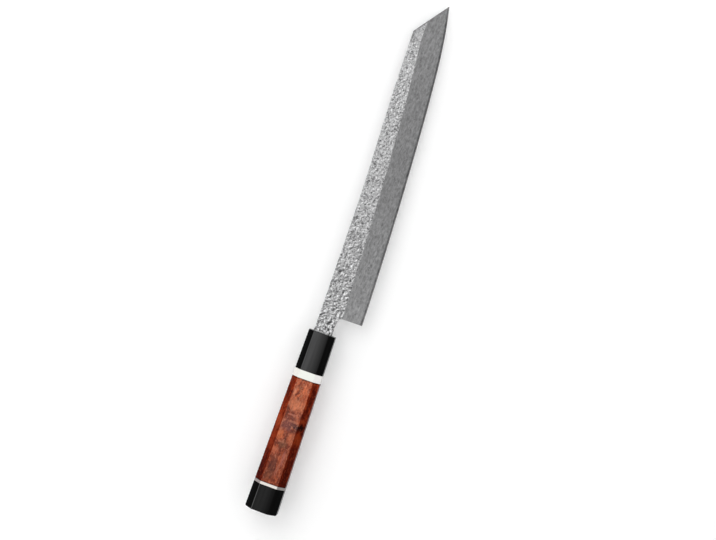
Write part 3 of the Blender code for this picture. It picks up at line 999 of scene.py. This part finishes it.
BURL_SPOTS = (
    # place and size in millimetres, tint, strength: the wide facet from back to front, then the bevels
    ((-107.7, 3.0, 9.5), (5.0, 3.2, 3.5), (0.175, 0.062, 0.030), 0.55),
    ((-99.8, 1.9, 9.5), (7.5, 2.9, 3.5), (0.120, 0.034, 0.026), 0.70),
    ((-104.0, -1.8, 9.5), (5.5, 1.0, 3.5), (0.50, 0.165, 0.105), 0.65),
    ((-94.0, -3.6, 9.5), (5.5, 1.3, 3.5), (0.50, 0.165, 0.120), 0.75),
    ((-90.5, 3.8, 9.5), (3.5, 2.8, 3.5), (0.50, 0.125, 0.060), 0.60),
    ((-84.3, 0.0, 9.5), (3.9, 3.5, 3.0), (0.140, 0.038, 0.018), 0.72),
    ((-84.3, 0.0, 9.5), (2.5, 2.1, 3.0), (0.25, 0.085, 0.040), 0.75),
    ((-84.6, 0.1, 9.5), (1.1, 0.9, 3.0), (0.110, 0.032, 0.016), 0.70),
    ((-77.5, 4.2, 9.5), (4.0, 2.4, 3.0), (0.56, 0.140, 0.045), 0.75),
    ((-77.3, -3.4, 9.5), (3.2, 2.2, 3.0), (0.54, 0.150, 0.065), 0.65),
    ((-69.7, 0.8, 9.5), (5.4, 6.0, 3.2), (0.150, 0.045, 0.046), 0.80),
    ((-70.2, -4.8, 9.5), (2.6, 3.2, 3.5), (0.055, 0.015, 0.020), 0.90),
    ((-67.0, -1.5, 9.5), (0.9, 4.6, 3.0), (0.44, 0.165, 0.100), 0.62),
    ((-64.4, 0.2, 9.5), (1.0, 5.0, 3.0), (0.190, 0.050, 0.045), 0.50),
    ((-62.3, 0.6, 9.5), (0.9, 4.6, 3.0), (0.47, 0.165, 0.120), 0.60),
    ((-59.6, -0.6, 9.5), (1.2, 4.4, 3.0), (0.300, 0.075, 0.045), 0.50),
    ((-54.0, 0.4, 9.5), (5.2, 5.4, 3.5), (0.60, 0.205, 0.105), 0.55),
    ((-47.4, -1.4, 9.5), (3.6, 1.1, 3.0), (0.20, 0.068, 0.028), 0.58),
    ((-42.4, 1.3, 9.5), (3.0, 1.3, 3.0), (0.19, 0.065, 0.026), 0.58),
    ((-45.0, 4.0, 9.5), (4.5, 1.3, 3.0), (0.60, 0.245, 0.150), 0.55),
    ((-104.0, 9.6, 7.0), (12.0, 3.2, 4.0), (0.125, 0.012, 0.007), 0.80),
    ((-84.0, 9.4, 7.0), (9.0, 2.8, 4.0), (0.60, 0.150, 0.066), 0.80),
    ((-69.5, 9.4, 7.0), (6.5, 2.8, 4.0), (0.72, 0.235, 0.135), 0.82),
    ((-46.0, 9.2, 7.0), (10.5, 1.8, 4.0), (0.115, 0.016, 0.009), 0.80),
    ((-99.0, -9.6, 7.0), (14.5, 2.8, 4.0), (0.125, 0.014, 0.008), 0.75),
    ((-78.3, -9.3, 7.0), (5.0, 3.0, 4.0), (0.50, 0.130, 0.040), 0.85),
    ((-69.8, -8.4, 7.5), (3.2, 3.2, 4.5), (0.012, 0.002, 0.004), 0.97),
    ((-65.0, -8.6, 7.0), (1.7, 2.6, 4.0), (0.44, 0.130, 0.060), 0.75),
    ((-50.0, -8.6, 7.0), (13.0, 1.6, 4.0), (0.115, 0.014, 0.008), 0.75),
)


def spot(paint, colour, place, size, tint, strength, wobble):
    """Mixes a tint into a colour round one place of the knife, with a ragged rim."""
    shift = paint.vector_math("SUBTRACT", paint.coords, [value / MM_PER_M for value in place])["Vector"]
    squeeze = paint.vector_math("MULTIPLY", shift, [MM_PER_M / value for value in size])["Vector"]
    distance = paint.vector_math("LENGTH", squeeze)["Value"]
    share = paint.spread(paint.math("ADD", distance, wobble), *SPOT_RIM, strength, 0.0)
    return paint.mix(share, colour, tint)


def burl_wood():
    paint = Paint("red_burl_wood")
    flow = paint.noise((52.0, 95.0, 95.0), detail=5.0, roughness=0.62, distortion=2.2)
    mottle = paint.noise(
        (310.0, 400.0, 400.0), detail=4.0, roughness=0.62, distortion=1.4, shift=MOTTLE_SHIFT
    )
    blot = paint.noise((60.0, 130.0, 130.0), detail=3.0, roughness=0.55, distortion=0.8, shift=BLOT_SHIFT)
    ragged = paint.noise((150.0, 260.0, 260.0), detail=4.0, roughness=0.6, shift=RAGGED_SHIFT)
    pores = paint.noise((330.0, 1150.0, 1150.0), detail=3.0, roughness=0.62)
    pale = paint.noise((330.0, 620.0, 620.0), detail=3.0, roughness=0.62, distortion=1.2, shift=PALE_SHIFT)
    flow_part = paint.math("MULTIPLY", flow, FLOW_SHARE)
    figure = paint.math("ADD", flow_part, paint.math("MULTIPLY", mottle, MOTTLE_SHARE))
    pigment = paint.ramp(figure, BURL_FIGURE)
    pigment = paint.mix(paint.spread(blot, *BLOT_SHARES), pigment, BLOT_TINT)
    wobble = paint.spread(ragged, *SPOT_WOBBLE)
    for place, size, tint, strength in BURL_SPOTS:
        pigment = spot(paint, pigment, place, size, tint, strength, wobble)
    pigment = paint.mix(paint.spread(pores, *PORE_SHARES), pigment, PORE_TINT)
    pigment = paint.mix(paint.spread(pale, *PALE_SHARES), pigment, PALE_TINT)
    off_ends = paint.off_ends(GRIP_BACK, GRIP_MARGIN, SPACER_BACK, GRIP_MARGIN)
    pigment = paint.mix(off_ends, paint.mix(1.0, pigment, END_TINT, "MULTIPLY"), pigment)
    # Painted shade on the bevels, and a painted reflection on the wide facets
    with_painted_shade = paint.mix(1.0, pigment, BEVEL_PAINTED_SHADE, "MULTIPLY")
    with_painted_reflection = paint.mix(1.0, pigment, PAINTED_REFLECTION, "ADD")
    to_rear = paint.ramp(paint.spread(paint.axis("X"), *BURL_SPAN), BURL_TO_REAR)
    paint.set(
        Base_Color=paint.mix(1.0, paint.mix(paint.on_side_facets(), with_painted_shade, with_painted_reflection), to_rear, "MULTIPLY"),
        Roughness=paint.spread(pores, *NOISE_RANGE, 0.16, 0.26),
        Specular_IOR_Level=BURL_SPECULAR,
    )
    paint.bump(pores, strength=0.05, distance=0.0002)
    return paint.material


# Putting the knife together


def place_piece(piece, material_list, node):
    piece.data.materials.clear()
    for made in material_list:
        piece.data.materials.append(made)
    piece.data.transform(REST)
    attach(piece, "root")
    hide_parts(node)


def dress_section(node, ends, made, cutters, front_round=JOINT_EASE, back_round=JOINT_EASE):
    piece = section(f"{node}_looks", *ends, front_round, back_round)
    carve(piece, cutters)
    piece.data.shade_smooth()
    piece.data.set_sharp_from_angle(angle=HANDLE_SHARP_ANGLE)
    place_piece(piece, [made], node)


def dress_knife():
    steel = [steel_sides(), steel_ground(), steel_rim()]
    horn = black_horn("black_horn", FERRULE_PAINTED_SHEEN)
    cap_horn = black_horn("black_horn_cap", CAP_PAINTED_SHEEN)
    white = white_spacer("white_spacer", FRONT_WHITES)
    rear_white = white_spacer("white_spacer_rear", REAR_WHITES)
    wood = burl_wood()

    blade = add_to_scene("blade_looks", build_blade())
    place_piece(blade, steel, "blade")

    core = rod("core_bore", BORE_RADIUS, BORE_FRONT_X, BORE_BACK_X)
    end = rod("end_bore", END_BORE_RADIUS, END_BORE_FRONT_X, END_BORE_BACK_X)
    mouth_back = BORE_FRONT_X - MOUTH_OVERLAP
    mouth = box("mouth_hole", MOUTH_OVERLAP, mouth_back, 2 * MOUTH_HALF_HEIGHT, MOUTH_WIDTH)
    ferrule_ends = (0.0, FERRULE_BACK)
    spacer_ends = (FERRULE_BACK - GLUE_LINE, SPACER_BACK)
    grip_ends = (SPACER_BACK - GLUE_LINE, GRIP_BACK)
    rear_ends = (GRIP_BACK - GLUE_LINE, REAR_SPACER_BACK)
    cap_ends = (REAR_SPACER_BACK - GLUE_LINE, BUTT_X)
    dress_section("ferrule", ferrule_ends, horn, (mouth, core), front_round=FERRULE_ROUND)
    dress_section("front_spacer", spacer_ends, white, (core,))
    dress_section("grip", grip_ends, wood, (core, end))
    dress_section("rear_spacer", rear_ends, rear_white, (end,))
    dress_section("end_cap", cap_ends, cap_horn, (end,), back_round=BUTT_ROUND)
    for cutter in (core, end, mouth):
        bpy.data.objects.remove(cutter, do_unlink=True)

    inside = {"core_dowel": pale_hardwood(), "end_dowel": pale_hardwood(), "tang_bedding": amber_resin()}
    for node, made in inside.items():
        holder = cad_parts[node]
        holder.data.materials.clear()
        holder.data.materials.append(made)


# Stage, light and camera
FLOOR_HALF = 12.0
FLOOR_COLOUR = (0.79, 0.79, 0.79)
FLOOR_LIFT = 0.225
FLOOR_DEPTH = 0.070
EVEN_RADIUS = (1.0, 1.0, 1.0)

# Levels by a direction's height, 0 at the horizon and 1 straight up. The panel's go by nearness to PANEL_AT
SKY = ((0.0, 0.45), (0.30, 0.58), (0.75, 0.90), (1.0, 1.0))
BACKDROP = ((0.0, 1.0), (0.30, 1.0), (0.48, 0.0))
PANEL = ((0.30, 0.50), (0.78, 0.50), (0.90, 0.66), (0.955, 0.88), (0.990, 1.0))
PANEL_AT = (0.06, 0.24, 1.0)
WHITE = (1.0, 1.0, 1.0)

LAMP_AT = (0.80, 0.80, 1.00)
LAMP_SIZE = (0.9, 0.9)
LAMP_POWER = 10.5
CAMERA_DISTANCE = 0.90
CAMERA_OVER = (0.05172, -0.00921, SPINE_THICKNESS / 2)
CAMERA_LEAN = math.radians(5.0)
PICTURE_TURN = math.radians(19.18)
PICTURE_WIDTH = 0.5194
SENSOR_WIDTH = 36.0


def build_floor():
    """A pale, softly scattering sheet that keeps the knife's shadow and shows near white."""
    bm = bmesh.new()
    bmesh.ops.create_grid(bm, x_segments=2, y_segments=2, size=FLOOR_HALF)
    floor = add_object(bm, "floor")
    made = bpy.data.materials.new("floor")
    made.use_nodes = True
    nodes = Nodes(made.node_tree)
    nodes.tree.nodes.clear()
    matt = nodes.node("ShaderNodeBsdfPrincipled", subsurface_method="BURLEY")
    nodes.fill(matt, {"Base Color": FLOOR_COLOUR, "Roughness": 1.0, "Specular IOR Level": 0.0})
    nodes.fill(matt, {"Subsurface Weight": 1.0, "Subsurface Scale": FLOOR_DEPTH})
    nodes.fill(matt, {"Subsurface Radius": EVEN_RADIUS})
    glow = nodes.node("ShaderNodeEmission")
    nodes.fill(glow, {"Strength": nodes.math("MULTIPLY", nodes.seen_directly(), FLOOR_LIFT)})
    both = nodes.node("ShaderNodeAddShader")
    nodes.feed(both.inputs[0], matt.outputs[0])
    nodes.feed(both.inputs[1], glow.outputs[0])
    nodes.fill(nodes.node("ShaderNodeOutputMaterial"), {"Surface": both.outputs[0]})
    floor.data.materials.append(made)


def build_world():
    """White for the camera, a pale studio with a wide panel overhead in reflections, and a soft sky."""
    world = bpy.data.worlds.new("studio")
    bpy.context.scene.world = world
    world.use_nodes = True
    nodes = Nodes(world.node_tree)
    nodes.tree.nodes.clear()
    direction = nodes.node("ShaderNodeTexCoord").outputs["Generated"]
    split = nodes.node("ShaderNodeSeparateXYZ")
    nodes.feed(split.inputs[0], direction)
    height = split.outputs["Z"]
    facing = nodes.vector_math("DOT_PRODUCT", direction, Vector(PANEL_AT).normalized())["Value"]
    studio = nodes.mix(1.0, nodes.grey_ramp(height, BACKDROP), nodes.grey_ramp(facing, PANEL), "LIGHTEN")
    to_camera = nodes.node("ShaderNodeLightPath").outputs["Is Camera Ray"]
    soft = nodes.node("ShaderNodeBackground")
    nodes.fill(soft, {"Color": nodes.grey_ramp(height, SKY)})
    seen = nodes.node("ShaderNodeBackground")
    nodes.fill(seen, {"Color": nodes.mix(to_camera, studio, WHITE)})
    both = nodes.node("ShaderNodeMixShader")
    nodes.feed(both.inputs["Fac"], nodes.seen_directly())
    nodes.feed(both.inputs[1], soft.outputs[0])
    nodes.feed(both.inputs[2], seen.outputs[0])
    nodes.fill(nodes.node("ShaderNodeOutputWorld"), {"Surface": both.outputs[0]})


def build_lamp():
    lamp = bpy.data.lights.new("softbox", "AREA")
    lamp.shape = "RECTANGLE"
    lamp.size, lamp.size_y = LAMP_SIZE
    lamp.energy = LAMP_POWER
    made = add_to_scene("softbox", lamp)
    made.location = LAMP_AT
    made.rotation_euler = (-Vector(LAMP_AT)).to_track_quat("-Z", "Y").to_euler()


def build_camera():
    data = bpy.data.cameras.new("camera")
    data.sensor_width = SENSOR_WIDTH
    data.lens = SENSOR_WIDTH * CAMERA_DISTANCE / PICTURE_WIDTH
    camera = add_to_scene("camera", data)
    back = Vector((0.0, -math.sin(CAMERA_LEAN), math.cos(CAMERA_LEAN)))
    spineward = Vector((0.0, math.cos(CAMERA_LEAN), math.sin(CAMERA_LEAN)))
    up = Vector((math.cos(PICTURE_TURN), 0.0, 0.0)) + spineward * math.sin(PICTURE_TURN)
    right = up.cross(back)
    turn = Matrix((right, up, back)).transposed().to_4x4()
    place = Vector(CAMERA_OVER) + back * CAMERA_DISTANCE
    camera.matrix_world = REST @ Matrix.Translation(place) @ turn
    bpy.context.scene.camera = camera


# noise_vector moves its places by a seed, which is the time of day unless it is set
noise.seed_set(SWIRL_SEED)
dress_knife()
build_floor()
build_world()
build_lamp()
build_camera()
bpy.context.scene.view_settings.view_transform = "Standard"
